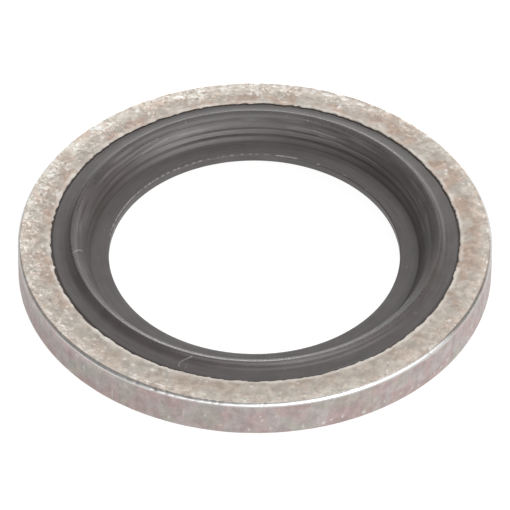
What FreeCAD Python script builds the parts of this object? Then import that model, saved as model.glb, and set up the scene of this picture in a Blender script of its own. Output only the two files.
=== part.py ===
import FreeCAD, Part
import math
import os

# A self-centring bonded seal, for sealing round a G 3/8 thread.
# A flat stamped steel ring carries one rubber moulding in its bore. The
# moulding has a shallow relief band next to the steel, a raised bead on each
# face, and a thin centring lip near mid-height that grips the thread. A bead
# has a sharp outer corner at its crest, a hollow outer flank that runs out
# into the relief band, and a rounded crown that falls to a straight inner
# flank.
#
# Millimetres. The axis is +Z, and the origin is the centre of the ring at
# mid-thickness. The beads are the same on both faces, mirrored in the plane
# z = 0. The lip's middle lies 0.14 mm under that plane, and the ring's outer
# edge is rounder at the top face than at the bottom one.

V = FreeCAD.Vector

# ---- steel ring -----------------------------------------------------------
RING_OD = 23.80  # outside diameter
RING_ID = 20.50  # punched bore, which the rubber is bonded to
RING_T = 2.03  # thickness over the two flat faces
RIM_R = 0.17  # outer edge of the top face, rolled over by the stamping
RIM_R_LOW = 0.10  # outer edge of the bottom face
BORE_BREAK = 0.05  # broken edges of the punched bore

# ---- rubber moulding, section at one face ---------------------------------
RELIEF_DROP = 0.03  # relief band lies this far under the steel's face
RELIEF_R = 10.10  # where the relief band leaves the level, on its way to the flank
RELIEF_BEND = 2.4  # radius of the relief band's slow upward curve
FOOT_R = 9.64  # foot of the hollow outer flank, where that curve ends
CREST_R = 9.25  # radius of the bead's crest
CREST_H = 0.34  # height of the crest over the steel's face
CREST_ROUND = 0.06  # radius of the crest's outer corner
OUTER_DEG = 70.1  # slope of the hollow outer flank where it meets that corner
CROWN_DEG = 12.0  # slope of the crown where it leaves that corner
CROWN_ROUND = 0.70  # radius of the crown
STEP_R = 8.50  # small step at the foot of the inner flank, from the mould's insert
STEP_Z = 0.5154  # height of that step's upper edge over mid-thickness
STEP_DROP = 0.035  # height of that step
ROOT_R = 8.20  # where the flank's foot has turned into the lip's face
ROOT_ROUND = 0.11  # length of the rounded corner at the lip's root

# ---- centring lip ---------------------------------------------------------
LIP_BORE_R = 7.31  # bore of the lip
LIP_MID_Z = -0.14  # height of the lip's middle
LIP_T = 0.43  # thickness of the lip at its bore
LIP_T_ROOT = 0.50  # thickness of the lip at its root
LIP_ROUND = 0.07  # rounding of the lip's edges

HALF_T = RING_T / 2.0


def line(a, b):
    return Part.LineSegment(V(a[0], 0, a[1]), V(b[0], 0, b[1])).toShape()


def arc(a, m, b):
    return Part.Arc(V(a[0], 0, a[1]), V(m[0], 0, m[1]), V(b[0], 0, b[1])).toShape()


def on_circle(centre, radius, deg):
    """The point of a circle in the section plane, at deg from the radial direction."""
    a = math.radians(deg)
    return (centre[0] + radius * math.cos(a), centre[1] + radius * math.sin(a))


def tangent_arc(a, slope_deg, b):
    """An arc from a to b that leaves a at slope_deg from the horizontal, towards the axis."""
    t = math.radians(slope_deg)
    ux, uz = -math.cos(t), math.sin(t)
    dx, dz = b[0] - a[0], b[1] - a[1]
    chord = math.hypot(dx, dz)
    turn = math.atan2(ux * dz - uz * dx, ux * dx + uz * dz)
    bulge = chord / 2.0 * math.tan(turn / 2.0)
    m = ((a[0] + b[0]) / 2.0 + dz / chord * bulge, (a[1] + b[1]) / 2.0 - dx / chord * bulge)
    return arc(a, m, b)


def revolved(edges):
    """A closed solid of revolution about Z, from a closed section in the XZ plane."""
    wire = Part.Wire(Part.__sortEdges__(edges))
    assert wire.isClosed()
    solid = Part.Face(wire).revolve(V(0, 0, 0), V(0, 0, 1), 360)
    if solid.ShapeType != "Solid":
        solid = Part.Solid(solid.Shells[0])
    if solid.Volume < 0:
        solid.reverse()
    assert solid.isValid() and len(solid.Solids) == 1
    return solid


# ---- steel ring -----------------------------------------------------------
def steel_ring():
    ro, ri, h = RING_OD / 2.0, RING_ID / 2.0, HALF_T
    f, g, c = RIM_R, RIM_R_LOW, BORE_BREAK
    edges = [
        line((ri, -h + c), (ri, h - c)),
        line((ri, h - c), (ri + c, h)),
        line((ri + c, h), (ro - f, h)),
        arc((ro - f, h), on_circle((ro - f, h - f), f, 45), (ro, h - f)),
        line((ro, h - f), (ro, -h + g)),
        arc((ro, -h + g), on_circle((ro - g, -h + g), g, -45), (ro - g, -h)),
        line((ro - g, -h), (ri + c, -h)),
        line((ri + c, -h), (ri, -h + c)),
    ]
    return revolved(edges)


# ---- rubber moulding ------------------------------------------------------
def bead_side(s):
    """One face of the moulding, from the steel inwards to the lip's bore. s is 1 for the top face and -1 for the underside."""
    wall = RING_ID / 2.0
    relief_z = HALF_T - RELIEF_DROP
    crest = (CREST_R, HALF_T + CREST_H - CREST_ROUND)
    crown = on_circle(crest, CROWN_ROUND - CREST_ROUND, CROWN_DEG - 90.0)

    p_wall = (wall, relief_z)
    p_relief = (RELIEF_R, relief_z)
    foot_deg = math.degrees(math.asin((RELIEF_R - FOOT_R) / RELIEF_BEND))
    bend = (RELIEF_R, relief_z + RELIEF_BEND)
    p_foot = on_circle(bend, RELIEF_BEND, -90.0 - foot_deg)
    m_foot = on_circle(bend, RELIEF_BEND, -90.0 - foot_deg / 2.0)
    p_out = on_circle(crest, CREST_ROUND, 90.0 - OUTER_DEG)
    p_top = on_circle(crest, CREST_ROUND, 90.0)
    p_crown = on_circle(crest, CREST_ROUND, 90.0 + CROWN_DEG)
    # the inner flank is the straight line from the step that just touches the crown
    p_step = (STEP_R, STEP_Z)
    reach = math.hypot(crown[0] - STEP_R, crown[1] - STEP_Z)
    inner_deg = math.degrees(math.atan2(crown[1] - STEP_Z, crown[0] - STEP_R) + math.asin(CROWN_ROUND / reach))
    p_in = on_circle(crown, CROWN_ROUND, 90.0 + inner_deg)
    m_in = on_circle(crown, CROWN_ROUND, 90.0 + (CROWN_DEG + inner_deg) / 2.0)
    p_below = (STEP_R - 0.012, p_step[1] - STEP_DROP)

    lip_root = s * LIP_MID_Z + LIP_T_ROOT / 2.0
    lip_edge = s * LIP_MID_Z + LIP_T / 2.0
    p_root = (ROOT_R, lip_root)
    corner = (ROOT_R + ROOT_ROUND * 0.45, lip_root + 0.004)
    away = math.hypot(p_below[0] - corner[0], p_below[1] - corner[1])
    p_foot2 = (
        corner[0] + (p_below[0] - corner[0]) * ROOT_ROUND / away,
        corner[1] + (p_below[1] - corner[1]) * ROOT_ROUND / away,
    )
    m_root = (
        (p_foot2[0] + p_root[0]) / 4.0 + corner[0] / 2.0,
        (p_foot2[1] + p_root[1]) / 4.0 + corner[1] / 2.0,
    )
    p_lip = (LIP_BORE_R + LIP_ROUND, lip_edge + 0.004)
    p_bore = (LIP_BORE_R, lip_edge - LIP_ROUND)
    m_lip = on_circle((LIP_BORE_R + LIP_ROUND, lip_edge - LIP_ROUND), LIP_ROUND, 135)

    def q(p):
        return (p[0], s * p[1])

    edges = [
        line(q(p_wall), q(p_relief)),
        arc(q(p_relief), q(m_foot), q(p_foot)),
        arc(q(p_out), q(p_top), q(p_crown)),
        arc(q(p_crown), q(m_in), q(p_in)),
        line(q(p_in), q(p_step)),
        line(q(p_step), q(p_below)),
        line(q(p_below), q(p_foot2)),
        arc(q(p_foot2), q(m_root), q(p_root)),
        line(q(p_root), q(p_lip)),
        arc(q(p_lip), q(m_lip), q(p_bore)),
    ]
    flank = tangent_arc(p_foot, foot_deg, p_out)
    if s < 0:
        flank = flank.mirror(V(0, 0, 0), V(0, 0, 1))
    edges.append(flank)
    return edges, q(p_wall), q(p_bore)


def rubber_seal():
    top, top_wall, top_bore = bead_side(1.0)
    low, low_wall, low_bore = bead_side(-1.0)
    return revolved(top + low + [line(low_wall, top_wall), line(top_bore, low_bore)])


os.makedirs("parts", exist_ok=True)
for name, shape in (("steel_ring", steel_ring()), ("rubber_seal", rubber_seal())):
    shape.exportStep("parts/" + name + ".step")
    lo, hi = 1e9, -1e9
    for v in shape.Vertexes:
        lo, hi = min(lo, v.Z), max(hi, v.Z)
    print(
        "%-12s volume %.2f mm3, corners from z %.3f to %.3f, faces %d, valid %s"
        % (name, shape.Volume, lo, hi, len(shape.Faces), shape.isValid())
    )
print(
    "overall %.2f mm across, %.3f mm high; lip bore %.2f mm from z %.3f to %.3f"
    % (
        RING_OD,
        RING_T + 2 * CREST_H,
        2 * LIP_BORE_R,
        LIP_MID_Z - LIP_T / 2 + LIP_ROUND,
        LIP_MID_Z + LIP_T / 2 - LIP_ROUND,
    )
)
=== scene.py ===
import math

import bpy
import numpy as np
from mathutils import Matrix, Vector


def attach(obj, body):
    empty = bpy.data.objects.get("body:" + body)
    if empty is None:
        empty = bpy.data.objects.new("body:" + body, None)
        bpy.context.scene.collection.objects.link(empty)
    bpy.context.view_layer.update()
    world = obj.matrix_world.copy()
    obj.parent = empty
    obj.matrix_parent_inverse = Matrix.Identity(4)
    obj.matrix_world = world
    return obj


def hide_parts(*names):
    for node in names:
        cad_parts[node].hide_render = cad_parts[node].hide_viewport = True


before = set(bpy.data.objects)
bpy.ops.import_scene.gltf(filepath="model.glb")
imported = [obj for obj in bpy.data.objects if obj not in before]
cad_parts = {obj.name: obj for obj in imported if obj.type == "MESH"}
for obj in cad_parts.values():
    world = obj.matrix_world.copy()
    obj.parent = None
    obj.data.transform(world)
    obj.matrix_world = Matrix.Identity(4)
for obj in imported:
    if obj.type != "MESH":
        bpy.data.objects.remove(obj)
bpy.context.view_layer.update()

# Lengths are in millimetres up to the moment a mesh or the camera is made, and azimuths are in
# degrees anticlockwise from +X. The camera stands at azimuth 270, so 270 is the near side, 90 the
# far side, 180 the left and 0 the right.
MM = 0.001
TAU = 2.0 * math.pi


# ---- noise and small helpers ----------------------------------------------
def lattice(ix, iy, iz, seed):
    n = (ix * 73856093) ^ (iy * 19349663) ^ (iz * 83492791) ^ (seed * 2654435761)
    n = n & 0x7FFFFFFF
    n = (((n >> 13) ^ n) * 1274126177) & 0x7FFFFFFF
    n = (((n >> 15) ^ n) * 668265263) & 0x7FFFFFFF
    return ((n >> 7) & 0xFFFF) / 65535.0


def noise(x, y, z, size, seed, octaves=1, gain=0.5):
    """Smooth value noise between about -1 and 1; size is the width of its features in mm."""
    x, y, z = np.broadcast_arrays(x, y, z)
    total, amp, norm = np.zeros(x.shape), 1.0, 0.0
    for o in range(octaves):
        k = 2.0**o / size
        c = [v * k + 31.7 * (o + 1) for v in (x, y, z)]
        i = [np.floor(v).astype(np.int64) for v in c]
        f = [v - j for v, j in zip(c, i)]
        w = [t * t * t * (t * (t * 6 - 15) + 10) for t in f]
        v = np.zeros(x.shape)
        for dx in (0, 1):
            wx = w[0] if dx else 1 - w[0]
            for dy in (0, 1):
                wy = w[1] if dy else 1 - w[1]
                for dz in (0, 1):
                    wz = w[2] if dz else 1 - w[2]
                    v += wx * wy * wz * lattice(i[0] + dx, i[1] + dy, i[2] + dz, seed + 97 * o)
        total += amp * (2 * v - 1)
        norm += amp
        amp *= gain
    return total / norm


def smooth(lo, hi, x):
    t = np.clip((x - lo) / (hi - lo), 0, 1)
    return t * t * (3 - 2 * t)


def arc_points(cx, cz, r, a0, a1, n):
    """n points on an arc of the section, both ends left in."""
    return [
        (cx + r * math.cos(math.radians(a)), cz + r * math.sin(math.radians(a)))
        for a in np.linspace(a0, a1, n)
    ]


def line_points(a, b, n):
    """n points from a to b, both ends left out."""
    return [
        (a[0] + (b[0] - a[0]) * t, a[1] + (b[1] - a[1]) * t) for t in np.linspace(0, 1, n + 2)[1:-1]
    ]


def bend_points(a, slope, b, n):
    """n points on the hollow arc that leaves a at slope degrees towards the axis and ends at b."""
    w = (math.sin(math.radians(slope)), math.cos(math.radians(slope)))
    dx, dz = b[0] - a[0], b[1] - a[1]
    r = (dx * dx + dz * dz) / (2.0 * (dx * w[0] + dz * w[1]))
    c = (a[0] + r * w[0], a[1] + r * w[1])
    a0 = math.degrees(math.atan2(-w[1], -w[0]))
    a1 = math.degrees(math.atan2(b[1] - c[1], b[0] - c[0]))
    return arc_points(c[0], c[1], r, a0, a1, n)


def section_normals(rz):
    d = np.roll(rz, -1, 0) - np.roll(rz, 1, 0)
    n = np.stack([d[:, 1], -d[:, 0]], 1)
    return n / np.linalg.norm(n, axis=1, keepdims=True)


def turn_gap(az, centre):
    """Signed difference of two azimuths in degrees."""
    return (az - centre + 180.0) % 360.0 - 180.0


def stamp(target, az, s, r_ref, at, s0, la, ls, amount, turn=0.0, power=1.0):
    """Adds one soft oval mark to a field over azimuth and a length s across the section."""
    n = len(az)
    half = max(la, ls) * 1.9
    di = int(half / (r_ref * TAU / n)) + 2
    ii = np.arange(round(at / 360.0 * n) - di, round(at / 360.0 * n) + di + 1) % n
    u = np.radians(turn_gap(az[ii], at))[:, None] * r_ref
    v = (s - s0)[None, :]
    c, k = math.cos(math.radians(turn)), math.sin(math.radians(turn))
    q = ((u * c + v * k) / la) ** 2 + ((-u * k + v * c) / ls) ** 2
    target[ii] += amount * np.exp(-np.minimum(q, 40.0) ** power) * (q < 6.0)


def mesh_ring(name, r, z, fields, bands):
    """A closed ring from grids of r and z (turn, section) in mm, with attributes and a banded UV map."""
    n, m = r.shape
    a = np.arange(n) / n * TAU
    co = np.stack([r * np.cos(a)[:, None], r * np.sin(a)[:, None], z], -1).reshape(-1, 3) * MM
    i, j = np.meshgrid(np.arange(n), np.arange(m), indexing="ij")
    i1, j1 = (i + 1) % n, (j + 1) % m
    quads = np.stack([i * m + j, i1 * m + j, i1 * m + j1, i * m + j1], -1).reshape(-1, 4)
    me = bpy.data.meshes.new(name)
    me.vertices.add(len(co))
    me.vertices.foreach_set("co", co.astype(np.float32).ravel())
    me.loops.add(quads.size)
    me.loops.foreach_set("vertex_index", quads.astype(np.int32).ravel())
    me.polygons.add(len(quads))
    me.polygons.foreach_set("loop_start", np.arange(0, quads.size, 4, dtype=np.int32))
    me.polygons.foreach_set("use_smooth", np.ones(len(quads), dtype=bool))
    me.update(calc_edges=True)
    per = n // bands
    mid_r, mid_z = r.mean(0), z.mean(0)
    step = np.hypot(np.roll(mid_r, -1) - mid_r, np.roll(mid_z, -1) - mid_z)
    run = np.concatenate([[0.0], np.cumsum(step)]) / step.sum()
    u0, u1 = (i % per) / per, (i % per + 1) / per
    v0, v1 = run[j], run[j + 1]
    band = i // per
    pad = 0.006
    uv = np.stack(
        [
            np.stack([u0, v0], -1),
            np.stack([u1, v0], -1),
            np.stack([u1, v1], -1),
            np.stack([u0, v1], -1),
        ],
        2,
    )
    uv[..., 0] = pad + uv[..., 0] * (1 - 2 * pad)
    uv[..., 1] = (band[..., None] + pad * bands + uv[..., 1] * (1 - 2 * pad * bands)) / bands
    layer = me.uv_layers.new(name="OFBake")
    layer.uv.foreach_set("vector", uv.astype(np.float32).ravel())
    for key, value in fields.items():
        at = me.attributes.new(key, "FLOAT", "POINT")
        at.data.foreach_set("value", np.clip(value, -1, 1).astype(np.float32).ravel())
    me.validate()
    o = bpy.data.objects.new(name, me)
    bpy.context.scene.collection.objects.link(o)
    return o


# ---- measured sizes, the same as the frame's ------------------------------
RO, RI, HT, RIM, RIM_LOW = 11.90, 10.25, 1.015, 0.17, 0.10
CREST = (9.25, 1.295, 0.06)
CROWN = (9.3831, 0.6690, 0.70)
RELIEF = (10.10, 0.985)
TAIL_R, TAIL_DEG = 2.4, 11.05
STEP = (8.50, 0.5154)
BORE = 7.31


# ---- steel ring -----------------------------------------------------------
def steel_ring():
    n = 960
    az = np.arange(n) / n * 360.0
    ca, sa = np.cos(np.radians(az))[:, None], np.sin(np.radians(az))[:, None]

    low_face = [(r, -HT) for r in np.linspace(RI + 0.06, RO - RIM_LOW, 12)]
    low_rim = arc_points(RO - RIM_LOW, -HT + RIM_LOW, RIM_LOW, -90, 0, 8)[1:]
    wall = line_points((RO, -HT + RIM_LOW), (RO, HT - RIM), 17)
    tight, broad, lean_a, lean_b = 0.045, 0.417, 42.0, 64.0
    sa_, sb_ = math.sin(math.radians(lean_a)), math.sin(math.radians(lean_b))
    ca_, cb_ = math.cos(math.radians(lean_a)), math.cos(math.radians(lean_b))
    rim_r = RO - tight * (1 - sb_) - broad * (sb_ - sa_) - tight * sa_
    rim_z = HT - tight * (1 - ca_) - broad * (ca_ - cb_) - tight * cb_
    low_bend = arc_points(RO - tight, rim_z, tight, 0, 90 - lean_b, 4)
    bevel = arc_points(low_bend[-1][0] - broad * sb_, low_bend[-1][1] - broad * cb_, broad, 90 - lean_b, 90 - lean_a, 8)[1:]
    top_rim = low_bend + bevel + arc_points(rim_r, HT - tight, tight, 90 - lean_a, 90, 5)[1:]
    top_face = [(r, HT) for r in np.linspace(rim_r, RI + 0.09, 40)[1:]]
    lip = [(RI + 0.06, HT - 0.002), (RI + 0.035, HT - 0.009), (RI + 0.015, HT - 0.024), (RI + 0.004, HT - 0.045)]
    inner = [(RI, 0.950), (RI, 0.90), (RI, 0.80), (RI, 0.3), (RI, -0.3), (RI, -0.80), (RI, -0.925), (RI + 0.012, -0.985)]
    rz = np.array(low_face + low_rim + wall + top_rim + top_face + lip + inner)
    assert n * len(rz) * 2 < 200000, len(rz)
    nr = section_normals(rz)
    r = np.repeat(rz[None, :, 0], n, 0)
    z = np.repeat(rz[None, :, 1], n, 0)
    rj, zj = rz[:, 0], rz[:, 1]
    x, y = r * ca, r * sa

    # parts of the section
    top = smooth(0.90, 1.0, zj) * (rj < RO - RIM + 0.12)
    is_top = (zj > 1.0) & (rj > RI + 0.02) & (rj < RO - 0.05)
    side = smooth(RO - 0.06, RO - 0.005, rj)
    rim = smooth(RO - RIM - 0.02, RO - RIM + 0.05, rj) * smooth(0.80, 0.88, zj)
    low = smooth(-0.90, -1.0, zj)

    h = np.zeros((n, len(rz)))
    fleck = np.zeros_like(h)
    stain_and_shade = np.zeros_like(h)
    edge = np.zeros_like(h)

    # the rolled sheet's slow waviness and the plating's lumps
    h += 0.0030 * noise(x, y, z, 1.5, 11, 2)
    h += 0.0028 * noise(x, y, z, 0.34, 12, 2) * (0.4 + top + low)[None, :]
    h += 0.0016 * noise(x, y, z, 0.16, 13, 2)
    h += 0.0012 * noise(x * 1.0, y * 1.0, z * 0.15, 0.22, 14, 2) * side[None, :]

    # pits and lumps, thickest in the outer two thirds and on the far left
    rs = np.random.RandomState(20)
    s_top = np.where(is_top, rj, 99.0)
    s_low = np.where((zj < -1.0) & (rj > RI + 0.05), rj, 99.0)
    s_wall = np.where(side > 0.5, zj, 99.0)
    for _ in range(1500):
        a, rr = rs.uniform(0, 360), RI + 0.1 + (RO - RIM - RI - 0.12) * rs.uniform(0, 1) ** 0.75
        size, deep = rs.uniform(0.045, 0.12), rs.uniform(0.005, 0.014)
        keep = 0.45 + 0.4 * math.cos(math.radians(a - 135)) + 0.25 * (rr > 10.9)
        t, kind, ratio = rs.uniform(0, 180), rs.uniform(), rs.uniform(0.5, 1.0)
        if rs.uniform() > keep:
            continue
        stamp(h, az, s_top, rr, a, rr, size, size * ratio, -deep if kind < 0.72 else 0.6 * deep, t, 1.3)
    for _ in range(420):
        a, rr = rs.uniform(0, 360), rs.uniform(RI + 0.1, RO - RIM - 0.03)
        size, deep = rs.uniform(0.05, 0.12), rs.uniform(0.004, 0.012)
        stamp(h, az, s_low, rr, a, rr, size, size * 0.7, -deep, rs.uniform(0, 180), 1.3)
    for _ in range(330):
        a, zz = rs.uniform(0, 360), rs.uniform(-0.85, 0.8)
        size, deep = rs.uniform(0.03, 0.075), rs.uniform(0.003, 0.009)
        stamp(h, az, s_wall, RO, a, zz, size, size * rs.uniform(0.6, 1.6), -deep, 0, 1.3)

    # bright flecks, where the plating is rubbed: azimuth, radius, length and width
    for a, rr, la, ls, amount in (
        (136.2, 11.53, 0.08, 0.06, 1.0), (133.2, 11.58, 0.10, 0.07, 1.0), (126.9, 11.53, 0.13, 0.06, 1.0),
        (122.0, 11.43, 0.09, 0.08, 0.9), (119.8, 11.44, 0.06, 0.07, 0.9), (116.1, 11.66, 0.12, 0.05, 1.0),
        (114.2, 11.60, 0.07, 0.08, 0.9), (111.0, 11.50, 0.17, 0.05, 1.0), (108.6, 11.47, 0.08, 0.06, 0.9),
        (103.4, 11.56, 0.18, 0.05, 1.0), (101.0, 11.52, 0.10, 0.05, 0.9), (98.6, 11.55, 0.14, 0.05, 0.9),
        (96.4, 11.60, 0.12, 0.04, 0.9), (88.0, 11.60, 0.07, 0.06, 0.8), (85.3, 11.66, 0.10, 0.05, 0.9),
        (82.9, 11.62, 0.14, 0.05, 1.0), (79.5, 11.66, 0.10, 0.06, 0.8), (77.6, 11.62, 0.11, 0.06, 1.0),
        (75.3, 11.52, 0.07, 0.12, 1.0), (71.6, 11.56, 0.22, 0.08, 1.0), (67.0, 11.60, 0.24, 0.06, 1.0),
        (62.0, 11.58, 0.22, 0.08, 1.0), (66.9, 10.89, 0.07, 0.16, 0.7), (58.6, 11.50, 0.16, 0.05, 0.8),
        (41.8, 11.66, 0.10, 0.05, 0.9), (37.5, 11.64, 0.16, 0.04, 0.7), (28.4, 11.63, 0.09, 0.05, 1.0),
        (25.7, 11.67, 0.12, 0.05, 1.0), (21.1, 11.62, 0.10, 0.05, 0.9), (13.4, 11.60, 0.09, 0.05, 0.9),
        (8.8, 11.66, 0.12, 0.05, 1.0), (3.6, 11.70, 0.10, 0.05, 0.9), (352.1, 11.70, 0.12, 0.05, 0.9),
        (349.2, 11.68, 0.09, 0.05, 0.8), (243.0, 11.56, 0.20, 0.025, 0.9), (239.6, 11.66, 0.16, 0.03, 1.0),
        (246.4, 11.52, 0.22, 0.03, 1.0), (248.8, 11.46, 0.08, 0.03, 0.8), (254.9, 11.56, 0.05, 0.04, 1.0),
        (257.8, 11.46, 0.05, 0.04, 0.9), (267.8, 11.66, 0.04, 0.05, 1.0), (317.7, 11.68, 0.05, 0.04, 0.9),
        (184.6, 11.50, 0.08, 0.04, 1.0), (187.0, 11.28, 0.05, 0.05, 1.0), (181.0, 11.55, 0.05, 0.08, 0.9),
        (201.5, 11.42, 0.09, 0.05, 1.0), (208.6, 11.50, 0.07, 0.07, 1.0), (212.4, 11.46, 0.06, 0.08, 1.0),
        (214.0, 11.42, 0.10, 0.05, 1.0), (166.5, 11.52, 0.06, 0.06, 0.9), (160.9, 11.50, 0.06, 0.07, 0.9),
        (171.8, 11.50, 0.05, 0.06, 0.9),
    ):
        stamp(fleck, az, s_top, rr, a, rr, la * 1.15, ls * 1.25, 1.3 * amount, 0, 1.4)
        stamp(h, az, s_top, rr, a, rr - 0.02, la * 1.3, ls * 1.5, -0.008 * amount, 0, 1.2)
    for _ in range(900):
        a, rr = rs.uniform(0, 360), RO - RIM - 0.02 - 1.3 * rs.uniform(0, 1) ** 1.5
        size = 0.035 + 0.075 * rs.uniform() ** 2.5
        ratio, amount, t = rs.uniform(0.45, 1.0), rs.uniform(0.3, 1.1), rs.uniform(-40, 40)
        keep = 0.40 + 0.34 * math.cos(math.radians(a - 150)) + 0.2 * (rr > 11.2)
        cluster = noise(rr * math.cos(math.radians(a)), rr * math.sin(math.radians(a)), 0.0, 0.9, 41, 2)
        if rs.uniform() > keep + 0.9 * float(cluster):
            continue
        stamp(fleck, az, s_top, rr, a, rr, size, max(0.03, size * ratio), amount, t, 1.1)
    for _ in range(260):
        a, rr = rs.uniform(0, 360), rs.uniform(RI + 0.1, RO - RIM - 0.05)
        stamp(fleck, az, s_low, rr, a, rr, rs.uniform(0.03, 0.09), rs.uniform(0.02, 0.05), rs.uniform(0.4, 1.0), 0, 1.4)

    # a radial scratch across the far side, forked at its outer end, and the notch it leaves in the rim
    for a, rr, la, ls, amount, t in (
        (89.75, 11.50, 0.035, 0.30, 1.0, 2), (89.45, 11.15, 0.035, 0.30, 1.0, -2), (90.25, 11.70, 0.03, 0.14, 0.9, 28),
        (89.05, 11.72, 0.03, 0.14, 0.9, -30), (89.6, 10.92, 0.03, 0.12, 0.7, 0),
    ):
        stamp(fleck, az, s_top, rr, a, rr, la, ls, 1.3 * amount, t, 1.2)
        stamp(h, az, s_top, rr, a + 0.12, rr, la * 1.4, ls, -0.016 * amount, t, 1.2)
    # small dark stains
    for a, rr, la, ls, amount in ((163.5, 11.28, 0.07, 0.06, 0.8), (90.6, 11.0, 0.05, 0.15, 0.5), (79.0, 11.60, 0.06, 0.06, 0.5)):
        stamp(stain_and_shade, az, s_top, rr, a, rr, la, ls, amount, 0, 1.2)

    # side wall: dings with a bright lip, and fine upright scratches
    for a, zz, la, ls, amount in (
        (271.9, -0.13, 0.05, 0.06, 0.8), (271.5, 0.16, 0.035, 0.05, 0.7), (275.2, 0.13, 0.04, 0.05, 0.8),
        (268.8, -0.71, 0.05, 0.05, 0.9), (273.9, -0.65, 0.04, 0.06, 0.8), (281.7, -0.69, 0.04, 0.05, 0.8),
        (286.7, -0.72, 0.06, 0.06, 1.1), (291.4, -0.58, 0.05, 0.07, 1.1), (302.7, -0.57, 0.04, 0.06, 0.8),
        (310.8, -0.64, 0.05, 0.05, 0.9), (312.9, -0.70, 0.04, 0.05, 0.8), (233.9, -0.45, 0.02, 0.30, 0.7),
        (253.0, -0.10, 0.025, 0.22, 0.5), (225.0, 0.1, 0.03, 0.1, 0.6), (330.0, -0.4, 0.03, 0.12, 0.6),
        (341.0, 0.1, 0.03, 0.2, 0.5), (205.0, 0.0, 0.03, 0.16, 0.5), (247.1, 0.34, 0.05, 0.06, 0.4),
        (297.0, -0.70, 0.07, 0.07, 1.3), (288.6, -0.62, 0.05, 0.06, 1.0), (307.5, -0.55, 0.05, 0.05, 1.0),
        (321.0, -0.62, 0.06, 0.05, 1.2), (323.5, -0.50, 0.05, 0.05, 1.1), (318.5, -0.68, 0.05, 0.05, 1.0),
        (262.0, -0.55, 0.04, 0.05, 0.7), (249.5, -0.62, 0.04, 0.06, 0.7), (258.3, 0.05, 0.03, 0.12, 0.5),
        (299.0, 0.2, 0.02, 0.2, 0.4), (60.0, 0.1, 0.04, 0.06, 0.7), (100.0, -0.3, 0.03, 0.12, 0.6),
        (135.0, 0.3, 0.04, 0.05, 0.8), (20.0, -0.2, 0.03, 0.2, 0.5), (160.0, -0.5, 0.05, 0.05, 0.7),
    ):
        stamp(fleck, az, s_wall, RO, a, zz, la * 1.25, ls * 1.25, 1.1 * amount, 0, 1.2)
        stamp(h, az, s_wall, RO, a + 0.15, zz - 0.02, la * 1.5, ls * 1.3, -0.010 * amount, 0, 1.3)

    # the rim: nicks that break its highlight, worst between azimuths 253 and 263
    cut = np.zeros(n)
    for a, wide, deep in (
        (238.3, 0.05, 0.03), (240.8, 0.05, 0.03), (245.6, 0.10, 0.05), (248.6, 0.08, 0.035), (250.8, 0.05, 0.035),
        (254.0, 0.10, 0.030), (256.0, 0.12, 0.045), (258.2, 0.10, 0.030), (260.0, 0.12, 0.045), (261.7, 0.10, 0.05),
        (271.0, 0.035, 0.03), (272.2, 0.03, 0.03), (279.3, 0.035, 0.03), (281.9, 0.03, 0.025), (316.8, 0.05, 0.03),
        (41.8, 0.10, 0.06), (89.7, 0.07, 0.05), (133.0, 0.12, 0.03), (116.0, 0.10, 0.03), (68.5, 0.14, 0.03),
        (28.0, 0.10, 0.03), (9.5, 0.12, 0.03), (352.8, 0.10, 0.03), (199.0, 0.09, 0.02), (214.0, 0.07, 0.02),
    ):
        g = np.radians(turn_gap(az, a)) * RO / wide
        cut += 0.6 * deep * np.exp(-np.abs(g) ** 1.5)
    wave = 0.010 * noise(RO * ca[:, 0], RO * sa[:, 0], 0.0, 0.45, 21, 3) + 0.006 * noise(
        RO * ca[:, 0], RO * sa[:, 0], 0.0, 2.5, 22, 1
    )
    far = smooth(20, 60, az) * (1 - smooth(150, 190, az))
    wave *= 0.5 + 0.9 * far
    h -= (cut + np.maximum(wave, -0.02))[:, None] * rim[None, :]

    # the punched inner edge: torn teeth that lean over the rubber, and bites out of it
    xe, ye = RI * ca[:, 0], RI * sa[:, 0]
    tear = 0.060 * noise(xe, ye, 0.0, 0.34, 31, 2) + 0.035 * noise(xe, ye, 0.0, 0.9, 32, 1)
    tear += 0.030 * noise(xe, ye, 0.0, 0.15, 33, 1)
    for a, wide, reach in ((192.2, 0.07, -0.075), (198.5, 0.08, -0.05), (172.5, 0.06, -0.04), (120.0, 0.07, -0.045), (300.5, 0.07, -0.04), (244.0, 0.06, -0.04)):
        g = np.radians(turn_gap(az, a)) * RI / wide
        tear += reach * np.exp(-g * g)
    tear = np.clip(tear * (1.0 + 0.45 * np.maximum(sa[:, 0], 0)), -0.10, 0.07)
    near_edge = smooth(RI + 0.16, RI + 0.03, rj) * smooth(0.950, 0.985, zj)
    shift = tear[:, None] * near_edge[None, :]
    tear_low = 0.5 * tear
    near_low = smooth(RI + 0.16, RI + 0.03, rj) * smooth(-0.88, -0.965, zj)
    shift += tear_low[:, None] * near_low[None, :]
    front = smooth(-0.35, -0.8, sa)
    # painted highlight: the top face is paled near the punched edge, most on the near side, standing in for the light
    # that the edge catches
    edge += smooth(RI + 0.28, RI + 0.10, rj[None, :] + 0.07 * noise(x, y, 0.0, 0.3, 36, 2)) * top[None, :] * np.clip(
        0.50 + 0.45 * front + (0.9 - 0.4 * front) * noise(x, y, 0.0, 0.5, 34, 2), 0, 1
    )
    # painted shade: the steel's inner wall just under the top face is painted almost black, standing in for the shade
    # in the crevice beside the rubber
    stain_and_shade += smooth(HT - 0.02, HT - 0.06, zj)[None, :] * (rj < RI + 0.05)[None, :]
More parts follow.
